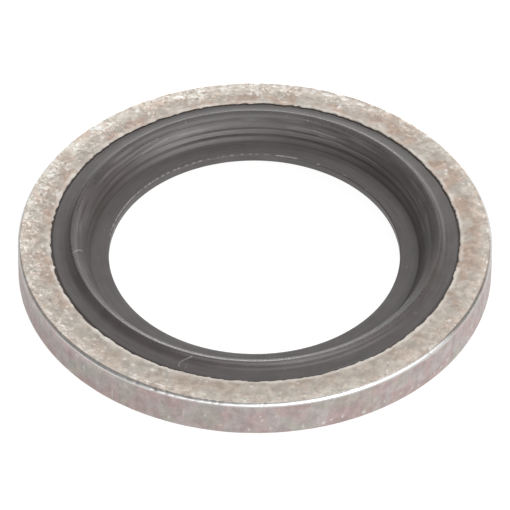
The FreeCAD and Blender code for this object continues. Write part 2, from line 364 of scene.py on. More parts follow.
    # painted reflection: a dark line on the rim's bevel from azimuth 319 to about 352 stands in for the dark that the
    # bevel reflects there
    rim_shade = smooth(319.0, 326.0, az)[:, None] * (1.0 - 0.5 * smooth(340.0, 352.0, az))[:, None]
    stain_and_shade += 0.55 * rim_shade * (smooth(rim_r - 0.035, rim_r + 0.005, rj) * (1 - smooth(rim_r + 0.035, rim_r + 0.065, rj)) * (zj > 0.9))[None, :]
    # painted shade: the same on the inner wall just above the bottom face
    stain_and_shade += (rj < RI + 0.05)[None, :] * smooth(-HT + 0.02, -HT + 0.06, zj)[None, :] * (zj < 0)[None, :]

    # slow changes of tone: a paler outer zone on top; on the wall, painted light, lighter on the right
    # and darker on the left; and on the left the wall is lighter under the rim and darker lower down
    drift = 0.28 * noise(x, y, 0.0, 1.5, 35, 2)
    tone = is_top[None, :] * (0.50 * smooth(11.05, 11.62, rj[None, :] + drift) - 0.12 * smooth(10.35, 10.6, rj[None, :]))
    left = np.exp(-((turn_gap(az, 214.0) / 26.0) ** 2))[:, None]
    tone = tone + 0.7 * is_top[None, :] * smooth(10.95, 11.3, rj[None, :] + drift) * np.exp(-((turn_gap(az, 128.0) / 38.0) ** 2))[:, None]
    tone = tone + side[None, :] * (0.85 * np.maximum(ca, 0) + 0.3 * np.minimum(ca, 0) + left * (0.9 * smooth(0.25, 0.7, zj[None, :] + 0.4 * drift) - 0.22))
    roll = smooth(rim_r - 0.005, rim_r + 0.03, rj) * smooth(0.74, 0.84, zj)

    h = np.clip(h, -0.075, 0.012)
    r = r + h * nr[None, :, 0] + shift
    z = z + h * nr[None, :, 1]
    # the rim's bevel is burnished, and its colour is whitened there as a painted highlight; on the left
    # that line is dull, and on the right it runs a little onto the wall
    shine = 1.0 - 0.75 * np.exp(-((turn_gap(az, 205.0) / 24.0) ** 2))
    shine *= 1.0 - 0.6 * smooth(320.0, 327.0, az) * (1.0 - smooth(345.0, 357.0, az))
    sink = 0.08 * np.exp(-((turn_gap(az, 322.0) / 24.0) ** 2))
    zs = zj[None, :] + sink[:, None]
    burnish_and_highlight = (rj > rim_r)[None, :] * smooth(1.008, 0.992, zj)[None, :] * smooth(0.80, 0.86, zs)
    roll = roll[None, :] * (1.0 - 0.85 * np.exp(-((turn_gap(az, 205.0) / 30.0) ** 2)))[:, None]
    burnish_and_highlight = burnish_and_highlight * (shine * np.clip(1.0 - 20.0 * cut, 0.15, 1.0))[:, None]
    fields = {
        "fleck": np.clip(fleck, 0, 1),
        "stain_and_shade": np.clip(stain_and_shade, 0, 1),
        "edge_highlight": np.clip(edge, 0, 1),
        "side": np.repeat(side[None, :], n, 0),
        "burnish_and_highlight": np.clip(burnish_and_highlight, 0, 1),
        "tone": np.clip(tone, -1, 1),
        "roll": np.clip(roll, 0, 1),
    }
    return mesh_ring("SteelRing", r, z, fields, 3)


# ---- rubber moulding ------------------------------------------------------
def rubber_seal():
    n = 720
    az = np.arange(n) / n * 360.0
    ca, sa = np.cos(np.radians(az))[:, None], np.sin(np.radians(az))[:, None]
    cr, cz, cw = CREST
    kr, kz, kw = CROWN

    groove = [(RI, 0.950), (RI - 0.014, 0.943), (RI - 0.032, 0.945), (RI - 0.050, 0.955), (RI - 0.075, 0.966), (RI - 0.115, 0.978)]
    tail = arc_points(RELIEF[0], RELIEF[1] + TAIL_R, TAIL_R, -90, -90 - TAIL_DEG, 8)
    crest = arc_points(cr, cz, cw, 19.9, 102, 8)
    bend = bend_points(tail[-1], TAIL_DEG, crest[0], 12)[1:-1]
    crown = arc_points(kr, kz, kw, 102, 151.22, 11)[1:]
    relief = [(10.118, 0.983)]
    flank = tail + bend
    upper = line_points(crown[-1], STEP, 12)
    step = [STEP, (STEP[0] - 0.006, STEP[1] - 0.018), (STEP[0] - 0.014, STEP[1] - 0.037)]
    foot = (8.310, 0.206)
    shelf = line_points(step[-1], foot, 3)
    root = [foot, (8.285, 0.172), (8.262, 0.146), (8.238, 0.126), (8.20, 0.112)]
    lip_top = line_points((8.20, 0.112), (7.38, 0.079), 14)
    edge = arc_points(7.38, 0.005, 0.07, 94, 180, 6)
    bore = line_points((BORE, 0.005), (BORE, -0.285), 3)
    edge_low = arc_points(7.38, -0.285, 0.07, 180, 266, 5)
    lip_low = line_points((7.38, -0.359), (8.20, -0.391), 7)
    root_low = [(8.20, -0.391), (8.24, -0.397), (8.29, -0.410), (8.353, -0.431)]
    shelf_low = line_points((8.353, -0.431), (8.488, -0.480), 1)
    upper_low = line_points((STEP[0], -STEP[1]), (crown[-1][0], -crown[-1][1]), 5)
    crest_low = [(a, -b) for a, b in crown[::-2] + crest[::-2]]
    flank_low = [(a, -b) for a, b in bend[::-2] + tail[::-2]]
    relief_low = [(RI - 0.12, -0.972), (RI - 0.06, -0.903), (RI, -0.90)]
    wall = [(RI, -0.5), (RI, 0.0), (RI, 0.5)]
    rz = np.array(
        groove + relief + flank + crest + crown + upper + step + shelf + root + lip_top + edge + bore + edge_low
        + lip_low + root_low + shelf_low + [(8.488, -0.480), (STEP[0], -STEP[1])] + upper_low + crest_low + flank_low + relief_low + wall
    )
    assert n * len(rz) * 2 < 200000, len(rz)
    nr = section_normals(rz)
    r = np.repeat(rz[None, :, 0], n, 0)
    z = np.repeat(rz[None, :, 1], n, 0)
    rj, zj = rz[:, 0], rz[:, 1]
    x, y = r * ca, r * sa
    free = 1.0 - smooth(RI - 0.03, RI - 0.005, rj)

    h = 0.0035 * noise(x, y, z, 2.2, 51, 2) + 0.0015 * noise(x, y, z, 0.5, 52, 2)
    line8 = np.exp(-(((rj - 8.627) / 0.020) ** 2)) * (zj > 0.5)
    behind = (0.15 + 0.85 * smooth(-0.1, 0.75, sa)) * (0.6 + 0.4 * smooth(-0.4, 0.3, noise(ca * 4, sa * 4, 0.0, 1.3, 55, 1)))
    # tool marks run round the inner flank; they are lines, so they vary much faster across than along
    on_flank = smooth(8.50, 8.56, rj) * (1 - smooth(9.06, 9.14, rj)) * (zj > 0.4)
    turned = noise(ca * 2.0, sa * 2.0, rj[None, :] * 4.5 + zj[None, :] * 4.5, 0.9, 53, 2)
    patch = smooth(-0.1, 0.5, noise(ca * 3.0, sa * 3.0, 0.0, 1.6, 54, 2))
    h += 0.0040 * turned * on_flank[None, :] * (0.25 + 0.9 * patch) * (0.45 + 0.55 * behind)
    h -= 0.014 * line8[None, :] * behind
    turned_lip = noise(ca * 1.6, sa * 1.6, rj[None, :] * 7.0, 0.9, 56, 2)
    h += 0.0015 * turned_lip * ((np.abs(zj) < 0.4) & (rj < 8.2))[None, :]

    glint = np.zeros_like(h)
    dark = np.zeros_like(h)
    on_edge = (np.abs(zj - 0.055) < 0.05) & (rj < 7.46)
    s_edge = np.where(on_edge, rj, 99.0)
    s_lip = np.where((np.abs(zj - 0.095) < 0.03) & (rj < 8.25), rj, 99.0)
    s_flank = np.where((zj > 0.45) & (rj < 9.19), rj, 99.0)
    s_outer = np.where((zj > 0.97) & (rj > 9.20) & (rj < 10.1), rj, 99.0)
    # flash along the lip's upper edge: a broken row of raised shreds, paled in colour as painted highlights
    for a, la, amount in (
        (81.4, 0.06, 0.9), (80.2, 0.10, 1.0), (79.0, 0.07, 0.8), (77.5, 0.05, 0.9), (76.2, 0.07, 0.9), (74.6, 0.08, 0.8),
        (73.7, 0.05, 0.6), (86.2, 0.04, 0.5), (85.1, 0.04, 0.5), (95.4, 0.05, 0.8), (99.4, 0.06, 0.8), (112.5, 0.08, 0.8),
        (115.3, 0.06, 0.7), (122.0, 0.06, 0.8), (123.9, 0.07, 0.8), (132.5, 0.08, 0.7), (136.6, 0.10, 0.8),
        (149.2, 0.14, 0.9), (151.2, 0.12, 0.8), (153.6, 0.12, 0.9), (156.2, 0.12, 0.8), (158.8, 0.14, 0.9),
        (161.4, 0.10, 0.7), (164.7, 0.14, 0.8), (167.4, 0.08, 0.5), (64.3, 0.05, 0.9), (141.5, 0.07, 0.5), (145.5, 0.08, 0.5),
        (52.0, 0.06, 0.4), (40.0, 0.05, 0.4), (105.0, 0.04, 0.4), (127.0, 0.08, 0.6), (129.6, 0.07, 0.7), (134.6, 0.07, 0.6),
        (139.0, 0.09, 0.7), (143.4, 0.10, 0.7), (147.0, 0.10, 0.7), (170.0, 0.10, 0.5), (118.4, 0.07, 0.6), (109.0, 0.05, 0.5),
        (92.0, 0.05, 0.6), (89.6, 0.05, 0.5), (103.0, 0.05, 0.5),
    ):
        stamp(glint, az, s_edge, 7.36, a, 7.375, la * 1.25, 0.028, 1.3 * amount, 0, 1.2)
        stamp(h, az, s_edge, 7.36, a, 7.38, la, 0.03, 0.012 * amount, 0, 1.2)
    # curled hair-like scratch on the near outer flank
    for a, rr, t, la in ((250.1, 9.40, 55, 0.10), (249.3, 9.47, 42, 0.12), (248.6, 9.60, 60, 0.12), (248.1, 9.75, 80, 0.11), (247.95, 9.90, 95, 0.09)):
        stamp(h, az, s_outer, rr, a, rr, la, 0.03, 0.006, t, 1.2)
    # specks of dust
    for a, rr, size, where, r0 in (
        (113.0, 9.10, 0.035, s_flank, 9.1), (124.4, 8.88, 0.03, s_flank, 8.9), (79.9, 9.06, 0.03, s_flank, 9.1), (69.8, 7.62, 0.03, s_lip, 7.6),
        (352.5, 7.70, 0.03, s_lip, 7.7), (326.0, 9.62, 0.03, s_outer, 9.6), (42.6, 9.55, 0.03, s_outer, 9.6), (73.0, 9.02, 0.025, s_flank, 9.0),
        (262.5, 7.95, 0.03, s_lip, 8.0),
    ):
        stamp(glint, az, where, r0, a, rr, size, size, 0.40, 0, 1.3)
        stamp(h, az, where, r0, a, rr, size, size, 0.006, 0, 1.3)
    rs = np.random.RandomState(61)
    for _ in range(150):
        a, rr, size, amount = rs.uniform(0, 360), rs.uniform(7.45, 10.0), rs.uniform(0.02, 0.03), rs.uniform(0.05, 0.22)
        where = s_lip if rr < 8.2 else s_flank if rr < 9.18 else s_outer
        stamp(glint, az, where, rr, a, rr, size, size, amount, 0, 1.3)
    # rubbed streaks on the inner flank
    for a, rr, la, amount in (
        (131.0, 8.71, 0.9, 0.35), (127.0, 8.83, 0.7, 0.3), (122.5, 8.76, 0.8, 0.4), (118.0, 8.86, 0.7, 0.3), (134.0, 8.62, 0.6, 0.35),
        (70.0, 8.73, 0.55, 0.35), (66.0, 8.67, 0.6, 0.4), (62.5, 8.61, 0.6, 0.4), (68.0, 8.58, 0.6, 0.35), (64.0, 8.78, 0.5, 0.3),
        (95.0, 8.59, 1.4, 0.2), (105.0, 8.58, 1.2, 0.2), (86.0, 8.60, 1.0, 0.2), (205.0, 8.77, 0.9, 0.3), (212.0, 8.73, 0.8, 0.3),
    ):
        stamp(glint, az, s_flank, rr, a, rr, la, 0.016, 0.5 * amount, 0, 1.3)
        stamp(h, az, s_flank, rr, a, rr, la, 0.02, 0.006 * amount, 0, 1.3)

    # painted light: broad pale patches on the inner flank, the shelf and the lip's near side pale the colour where
    # those zones are lit brighter
    s_shelf = np.where((zj > 0.14) & (zj < 0.50) & (rj > 8.25), rj, 99.0)
    for a, rr, la, ls, amount, where in (
        (122.0, 8.59, 1.5, 0.14, 0.22, s_flank), (210.0, 8.52, 1.7, 0.20, 0.05, s_flank), (118.0, 8.81, 1.0, 0.10, 0.06, s_flank),
        (88.0, 8.90, 3.2, 0.13, 0.06, s_flank), (209.0, 8.39, 1.5, 0.10, 0.13, s_shelf), (120.0, 8.39, 1.3, 0.10, 0.07, s_shelf),
        (258.0, 7.90, 5.0, 0.60, 0.04, s_lip),
    ):
        stamp(glint, az, where, rr, a, rr, la, ls, amount, 0, 1.0)

    # painted light: the relief band is paled on the far side; painted shade: the lip's root is darkened,
    # most on the right, and made rougher
    glint += 0.06 * smooth(0.30, 0.85, sa + 0.0 * rj) * ((zj > 0.9) * smooth(9.80, 9.88, rj) * smooth(10.14, 10.08, rj))[None, :]
    dark += 0.30 * (0.4 + 0.6 * smooth(0.55, 0.95, ca)) * ((np.abs(zj - 0.1) < 0.06) * smooth(7.86, 8.15, rj) * (rj < 8.25))[None, :]

    # the groove beside the steel is uneven, and its colour is darkened as painted shade in the groove
    in_groove = smooth(10.12, 10.18, rj) * (zj > 0)
    sag = 0.5 + 0.5 * noise(10.2 * ca, 10.2 * sa, 0.0, 0.5, 57, 2)
    z_low = -0.012 * sag * in_groove[None, :] * free[None, :]
    dark += (smooth(10.12, 10.19, rj) * (zj > 0))[None, :] * (0.40 + 0.22 * sag)
    # painted shade: a dark line at the crest's outer edge on the far side
    dark += 0.10 * smooth(0.30, 0.85, sa) * (smooth(9.13, 9.17, rj) * smooth(9.26, 9.23, rj) * (zj > 1.2))[None, :]
    # painted shade: the crown is darkened and made rougher near azimuths 330 and 210, dimming its highlight there
    dull_and_shade = 0.28 * np.exp(-((turn_gap(az, 330.0) / 30.0) ** 2)) + 0.32 * np.exp(-((turn_gap(az, 210.0) / 20.0) ** 2))
    dark += dull_and_shade[:, None] * (smooth(8.95, 9.02, rj) * smooth(9.24, 9.20, rj) * (zj > 1.0))[None, :]
    # painted shade: a dark band at the relief's outer edge on the far side, beside the groove
    dark += 0.42 * smooth(0.30, 0.85, sa) * (smooth(9.96, 10.06, rj) * smooth(10.19, 10.14, rj) * (zj > 0))[None, :]
    # painted shade: a dark line at the lip's root, where the shelf meets the lip top, strongest on the far side
    dark += 0.70 * (np.exp(-(((zj - 0.150) / 0.05) ** 2)) * smooth(8.18, 8.24, rj) * (1 - smooth(8.36, 8.42, rj)))[None, :] * (0.4 + 0.6 * behind)
    # painted shade: a dark line under the step's edge, on the far side
    dark += 0.85 * (smooth(0.36, 0.42, zj) * smooth(0.512, 0.500, zj) * (rj > 8.3) * (rj < 8.6))[None, :] * behind
    # line8 is a shallow groove; its colour is also darkened on the far side as painted shade in it
    dark += 0.85 * line8[None, :] * behind

    h = np.clip(h, -0.02, 0.02)
    r = r + h * nr[None, :, 0] * free[None, :]
    z = z + h * nr[None, :, 1] * free[None, :] + z_low
    # the bead stands a little further out on the far side and further in on the left
    stand = smooth(8.9, 9.2, rj) * smooth(9.75, 9.40, rj) * (zj > 0.5)
    r = r + (0.05 * smooth(0.2, 0.9, sa) - 0.04 * smooth(0.3, 0.95, -ca)) * stand[None, :]
    # the lip's bore is a little off centre, towards the left
    slack = 1 - smooth(7.4, 8.1, rj)
    r = r + (0.005 - 0.030 * ca) * slack[None, :]
    fields = {"glint": np.clip(glint, 0, 1), "dark": np.clip(dark, 0, 1)}
    return mesh_ring("RubberSeal", r, z, fields, 2)


# ---- node helper ----------------------------------------------------------
class Nodes:
    def __init__(self, tree):
        self.tree = tree
        tree.nodes.clear()

    def add(self, kind, **props):
        node = self.tree.nodes.new(kind)
        for key, value in props.items():
            setattr(node, key, value)
        return node

    def put(self, value, socket):
        if isinstance(value, bpy.types.NodeSocket):
            self.tree.links.new(value, socket)
        elif value is not None:
            socket.default_value = value

    def math(self, op, a, b=None, c=None, clamp=False):
        node = self.add("ShaderNodeMath", operation=op, use_clamp=clamp)
        for value, socket in zip((a, b, c), node.inputs):
            self.put(value, socket)
        return node.outputs[0]

    def vec(self, op, a, b=None):
        node = self.add("ShaderNodeVectorMath", operation=op)
        self.put(a, node.inputs[0])
        if b is not None:
            self.put(b, node.inputs["Scale"] if op == "SCALE" else node.inputs[1])
        return node.outputs["Value"] if op in ("DOT_PRODUCT", "LENGTH") else node.outputs["Vector"]

    def noise(self, vec, scale, detail=2.0, rough=0.5, distort=0.0):
        node = self.add("ShaderNodeTexNoise", noise_dimensions="3D")
        self.put(vec, node.inputs["Vector"])
        node.inputs["Scale"].default_value = scale
        node.inputs["Detail"].default_value = detail
        node.inputs["Roughness"].default_value = rough
        node.inputs["Distortion"].default_value = distort
        return node.outputs["Fac"]

    def span(self, value, lo, hi, to_lo=0.0, to_hi=1.0):
        node = self.add("ShaderNodeMapRange", interpolation_type="SMOOTHSTEP")
        self.put(value, node.inputs["Value"])
        for key, v in (("From Min", lo), ("From Max", hi), ("To Min", to_lo), ("To Max", to_hi)):
            node.inputs[key].default_value = v
        return node.outputs["Result"]

    def mix(self, fac, a, b, blend="MIX"):
        node = self.add("ShaderNodeMix", data_type="RGBA", blend_type=blend, clamp_factor=True)
        self.put(fac, node.inputs[0])
        self.put(a if isinstance(a, bpy.types.NodeSocket) else (*a, 1.0), node.inputs[6])
        self.put(b if isinstance(b, bpy.types.NodeSocket) else (*b, 1.0), node.inputs[7])
        return node.outputs[2]

    def field(self, name):
        return self.add("ShaderNodeAttribute", attribute_type="GEOMETRY", attribute_name=name).outputs["Fac"]

    def bump(self, height, distance, normal=None):
        node = self.add("ShaderNodeBump")
        node.inputs["Strength"].default_value = 1.0
        node.inputs["Distance"].default_value = distance
        self.put(height, node.inputs["Height"])
        if normal is not None:
            self.put(normal, node.inputs["Normal"])
        return node.outputs["Normal"]


def new_material(name):
    mat = bpy.data.materials.new(name)
    mat.use_nodes = True
    k = Nodes(mat.node_tree)
    shader = k.add("ShaderNodeBsdfPrincipled")
    out = k.add("ShaderNodeOutputMaterial")
    k.tree.links.new(shader.outputs["BSDF"], out.inputs["Surface"])
    place = k.add("ShaderNodeTexCoord").outputs["Object"]
    mm = k.vec("SCALE", place, 1000.0)
    return mat, k, shader, mm


def polar_streaks(k, mm, along, across):
    """Coordinates in which noise runs as fine lines round the axis."""
    sep = k.add("ShaderNodeSeparateXYZ")
    k.put(mm, sep.inputs[0])
    flat = k.add("ShaderNodeCombineXYZ")
    k.put(sep.outputs[0], flat.inputs[0])
    k.put(sep.outputs[1], flat.inputs[1])
    radius = k.vec("LENGTH", flat.outputs[0])
    unit = k.add("ShaderNodeVectorMath", operation="NORMALIZE")
    k.put(flat.outputs[0], unit.inputs[0])
    turn = k.add("ShaderNodeSeparateXYZ")
    k.put(unit.outputs["Vector"], turn.inputs[0])
    both = k.math("ADD", k.math("MULTIPLY", radius, across), k.math("MULTIPLY", sep.outputs[2], across * 0.8))
    out = k.add("ShaderNodeCombineXYZ")
    k.put(k.math("MULTIPLY", turn.outputs[0], along), out.inputs[0])
    k.put(k.math("MULTIPLY", turn.outputs[1], along), out.inputs[1])
    k.put(both, out.inputs[2])
    return out.outputs[0]


# ---- materials ------------------------------------------------------------
def plated_steel():
    mat, k, shader, mm = new_material("SteelPlating")
    fleck, stain_and_shade, edge_highlight, side, burnish_and_highlight, tone, roll = (
        k.field(f) for f in ("fleck", "stain_and_shade", "edge_highlight", "side", "burnish_and_highlight", "tone", "roll")
    )

    blotch = k.noise(mm, 0.80, 2.5, 0.5, 0.6)
    tint = k.noise(k.vec("ADD", mm, (7.0, 3.0, 5.0)), 0.7, 3.0, 0.55)
    cloud = k.noise(k.vec("ADD", mm, (1.0, 9.0, 2.0)), 2.2, 4.0, 0.6, 0.5)
    grain = k.noise(mm, 7.5, 2.0, 0.6)
    fine = k.noise(mm, 17.0, 1.0, 0.5)
    flake = k.noise(k.vec("ADD", mm, (5.0, 1.0, 4.0)), 3.3, 2.0, 0.5, 0.9)
    chip = k.noise(k.vec("ADD", mm, (2.0, 6.0, 9.0)), 7.0, 1.0, 0.5, 0.5)
    speck_shadow_noise = k.noise(k.vec("ADD", mm, (8.0, 2.0, 1.0)), 5.5, 1.0, 0.5, 0.6)
    crowd = k.noise(k.vec("ADD", mm, (9.0, 4.0, 3.0)), 1.1, 2.0, 0.5)

    # the plating: beige and pink-brown patches, a few greyer ones, and cream flakes that crowd
    # together in the outer zone and on the far left
    flat = k.vec("MULTIPLY", mm, (1.0, 1.0, 0.0))
    radius = k.vec("LENGTH", flat)
    drift = k.math("ADD", radius, k.span(cloud, 0.30, 0.70, -0.30, 0.30))
    drift = k.math("ADD", drift, k.span(k.vec("DOT_PRODUCT", flat, (-0.064, 0.054, 0.0)), -0.8, 0.8, -0.16, 0.22))
    zone = k.span(drift, 10.75, 11.40, 0.0, 1.0)
    tan = k.math("MULTIPLY", k.span(blotch, 0.44, 0.57), k.math("SUBTRACT", 1.0, k.math("MULTIPLY", zone, 0.45)))
    tan = k.math("MULTIPLY", tan, k.span(k.vec("DOT_PRODUCT", flat, (0.0, 0.084, 0.0)), -0.9, 0.1, 0.55, 1.0))
    colour = k.mix(tan, (0.635, 0.570, 0.505), (0.575, 0.450, 0.375))
    colour = k.mix(k.math("MULTIPLY", k.span(tint, 0.52, 0.64), 0.60), colour, (0.605, 0.580, 0.52))
    crowded = k.math("MULTIPLY", k.span(crowd, 0.38, 0.56, 0.10, 1.0), k.math("ADD", k.math("MULTIPLY", zone, 0.85), 0.15))
    crowded = k.math("MULTIPLY", crowded, k.span(k.vec("DOT_PRODUCT", flat, (-0.06, 0.06, 0.0)), -0.4, 0.8, 0.30, 1.0))
    patchy = k.math("MULTIPLY", k.span(flake, 0.52, 0.63), crowded)
    chips = k.math("MULTIPLY", k.span(chip, 0.57, 0.67), crowded)
    speck_shadow = k.math("MULTIPLY", k.span(speck_shadow_noise, 0.40, 0.33), k.math("ADD", k.math("MULTIPLY", crowded, 0.7), 0.3))
    top_side = k.math("SUBTRACT", 1.0, side, clamp=True)
    # painted shadow: small dark specks on the top face stand in for the shadows beside the raised flakes
    colour = k.mix(k.math("MULTIPLY", k.math("MULTIPLY", speck_shadow, 0.55), top_side), colour, (0.36, 0.29, 0.245))
    colour = k.mix(k.math("MULTIPLY", k.math("MULTIPLY", patchy, 0.72), top_side), colour, (0.94, 0.885, 0.81))
    colour = k.mix(k.math("MULTIPLY", k.math("MULTIPLY", chips, 0.70), top_side), colour, (0.99, 0.96, 0.90))
    wall = k.mix(k.span(blotch, 0.42, 0.58), (0.575, 0.510, 0.490), (0.565, 0.450, 0.430))
    wall = k.mix(k.math("MULTIPLY", k.span(tint, 0.49, 0.62), 0.75), wall, (0.545, 0.520, 0.465))
    colour = k.mix(side, colour, wall)
    stretched = k.vec("MULTIPLY", mm, (1.0, 1.0, 0.12))
    upright = k.noise(stretched, 4.0, 2.0, 0.6)
    mottle = k.noise(k.vec("ADD", mm, (3.0, 2.0, 6.0)), 2.0, 2.0, 0.5, 0.4)
    swing = k.math("MULTIPLY", k.span(mottle, 0.32, 0.68, -0.12, 0.12), k.math("SUBTRACT", 1.0, k.math("MULTIPLY", side, 0.25)))
    shade = k.math("ADD", k.span(grain, 0.25, 0.75, 0.94, 1.06), swing)
    shade = k.math("MULTIPLY", shade, k.span(upright, 0.25, 0.75, 0.95, 1.05))
    # tone brightens or darkens the colour, including painted light on the wall
    shade = k.math("MULTIPLY", shade, k.math("ADD", k.math("MULTIPLY", tone, 0.25), 1.0))
    grey = k.add("ShaderNodeCombineXYZ")
    for i in range(3):
        k.put(shade, grey.inputs[i])
    colour = k.mix(1.0, colour, grey.outputs[0], "MULTIPLY")
    # the rim's bevel whitened: burnish, and a painted highlight
    colour = k.mix(k.math("MULTIPLY", burnish_and_highlight, 0.95), colour, (0.98, 0.975, 0.965))
    # painted highlight along the punched inner edge
    colour = k.mix(k.math("MULTIPLY", edge_highlight, 0.85), colour, (0.93, 0.875, 0.81))
    speck = k.math("MULTIPLY", fleck, k.span(grain, 0.30, 0.55, 0.55, 1.0), clamp=True)
    colour = k.mix(speck, colour, (0.98, 0.95, 0.90))
    # darkens for the small stains, for painted shade on the inner wall, and for a painted dark reflection on the rim's
    # bevel
    colour = k.mix(stain_and_shade, colour, (0.035, 0.026, 0.020))
    k.put(colour, shader.inputs["Base Color"])

    rough = k.span(cloud, 0.25, 0.75, 0.40, 0.54)
    rough = k.math("SUBTRACT", rough, k.math("MULTIPLY", speck, 0.16))
    rough = k.math("SUBTRACT", rough, k.math("MULTIPLY", roll, 0.22))
    rough = k.math("SUBTRACT", rough, k.math("MULTIPLY", side, 0.06))
    rough = k.math("ADD", rough, k.math("MULTIPLY", stain_and_shade, 0.3), clamp=True)
    k.put(rough, shader.inputs["Roughness"])
    shader.inputs["Metallic"].default_value = 1.0

    height = k.math("ADD", k.math("MULTIPLY", grain, 0.6), k.math("MULTIPLY", fine, 0.4))
    height = k.math("ADD", height, k.math("MULTIPLY", k.math("MULTIPLY", upright, side), 0.5))
    k.put(k.bump(height, 0.0045 * MM), shader.inputs["Normal"])
    return mat


# azimuth and radius of each point, half width in mm, strength, colour
PALE, DEEP = (0.50, 0.48, 0.47), (0.030, 0.027, 0.025)
SCRATCHES = (
    (((250.75, 9.33), (249.47, 9.427), (248.64, 9.511), (247.95, 9.646), (247.79, 9.823), (248.15, 9.965)), 0.040, 0.42, PALE),
    (((250.06, 9.685), (249.95, 9.82), (250.04, 9.945)), 0.045, 0.16, PALE),
    (((189.15, 9.19), (187.7, 8.99), (185.3, 8.68)), 0.034, 0.62, PALE),
    (((189.4, 9.12), (188.2, 8.93), (186.2, 8.59)), 0.026, 0.45, DEEP),
    (((131.5, 8.683), (126.0, 8.729), (121.0, 8.745)), 0.024, 0.24, PALE),
    (((134.0, 8.827), (129.0, 8.849), (124.0, 8.870)), 0.022, 0.20, PALE),
    (((70.5, 8.745), (66.0, 8.722), (62.0, 8.729)), 0.022, 0.30, PALE),
    (((68.0, 8.653), (63.5, 8.637), (59.5, 8.622)), 0.022, 0.28, PALE),
)


def nitrile_rubber():
    mat, k, shader, mm = new_material("SealRubber")
    glint, dark = k.field("glint"), k.field("dark")
    rings = k.noise(polar_streaks(k, mm, 2.2, 4.5), 1.0, 1.0, 0.5)
    rings_fine = k.noise(polar_streaks(k, mm, 5.0, 9.0), 1.0, 0.0, 0.5)
    cloud = k.noise(mm, 0.8, 3.0, 0.55)
    tint = k.noise(k.vec("ADD", mm, (4.0, 8.0, 1.0)), 0.9, 2.0, 0.5)
    grain = k.noise(mm, 5.5, 1.0, 0.5)

    colour = k.mix(k.span(cloud, 0.30, 0.70), (0.094, 0.080, 0.077), (0.118, 0.102, 0.098))
    colour = k.mix(k.math("MULTIPLY", k.span(tint, 0.52, 0.70), 0.5), colour, (0.090, 0.091, 0.084))
    colour = k.mix(k.math("MULTIPLY", k.span(tint, 0.46, 0.30), 0.5), colour, (0.112, 0.090, 0.096))
    # rubbed rings, mostly on the inner flank's far half, paler where they crowd
    flat = k.vec("MULTIPLY", mm, (1.0, 1.0, 0.0))
    radius = k.vec("LENGTH", flat)
    flank = k.math("MULTIPLY", k.span(radius, 8.45, 8.60), k.span(radius, 9.14, 8.98))
    rubbed = k.noise(k.vec("ADD", flat, (3.0, 3.0, 0.0)), 0.42, 2.0, 0.5)
    streak = k.noise(polar_streaks(k, mm, 3.2, 6.5), 1.0, 1.5, 0.55)
    amount = k.math("ADD", k.math("MULTIPLY", k.math("MULTIPLY", flank, k.span(rubbed, 0.42, 0.60)), 0.65), 0.15)
    colour = k.mix(k.math("MULTIPLY", k.span(streak, 0.46, 0.70), amount), colour, (0.21, 0.20, 0.195))
    colour = k.mix(k.math("MULTIPLY", k.span(streak, 0.44, 0.28), 0.35), colour, (0.060, 0.056, 0.053))
    # pales the colour: painted highlights on the flash, painted light in broad patches, and real dust specks and rubbed
    # streaks
    colour = k.mix(glint, colour, (0.46, 0.44, 0.42))
    # fine scratches, each a chain of straight pieces seen on the upper side only
    upper = k.add("ShaderNodeSeparateXYZ")
    k.put(mm, upper.inputs[0])
    above = k.span(upper.outputs[2], 0.45, 0.55)
    for chain, wide, amount, tone in SCRATCHES:
        line = None
        points = [(r * math.cos(math.radians(a)), r * math.sin(math.radians(a)), 0.0) for a, r in chain]
        for p, q in zip(points, points[1:]):
            span = [v - u for u, v in zip(p, q)]
            length = math.hypot(span[0], span[1])
            rel = k.vec("SUBTRACT", flat, p)
            t = k.math("DIVIDE", k.vec("DOT_PRODUCT", rel, span), length**2, clamp=True)
            away = k.vec("LENGTH", k.vec("SUBTRACT", rel, k.vec("SCALE", tuple(span), t)))
            line = away if line is None else k.math("MINIMUM", line, away)
        mark = k.math("MULTIPLY", k.math("MULTIPLY", k.span(line, wide, wide * 0.35), above), amount)
        colour = k.mix(mark, colour, tone)
    # darkens for painted shade in the groove, at the lip's root, under the step, in line8 and at the crest's edges, and
    # also makes the surface rougher
    colour = k.mix(k.math("MULTIPLY", dark, 0.92), colour, (0.030, 0.022, 0.019))
    k.put(colour, shader.inputs["Base Color"])

    rough = k.span(cloud, 0.25, 0.75, 0.31, 0.39)
    rough = k.math("SUBTRACT", rough, k.math("MULTIPLY", k.span(upper.outputs[2], 1.16, 1.28), 0.06))
    rough = k.math("ADD", rough, k.span(grain, 0.25, 0.75, -0.04, 0.04))
    rough = k.math("ADD", rough, k.math("MULTIPLY", dark, 0.35), clamp=True)
    k.put(rough, shader.inputs["Roughness"])
    shader.inputs["Specular IOR Level"].default_value = 0.85

    height = k.math("ADD", k.math("MULTIPLY", rings, 0.8), k.math("MULTIPLY", rings_fine, 0.35))
    height = k.math("ADD", height, k.math("MULTIPLY", grain, 0.35))
    k.put(k.bump(height, 0.006 * MM), shader.inputs["Normal"])
    return mat


steel, rubber = steel_ring(), rubber_seal()
for piece, material, node, slot in (
    (steel, plated_steel(), "steel_ring", "plated_steel"),
    (rubber, nitrile_rubber(), "rubber_seal", "nitrile_rubber"),
):
    piece.data.materials.append(material)
    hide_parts(node)
    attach(piece, "root")


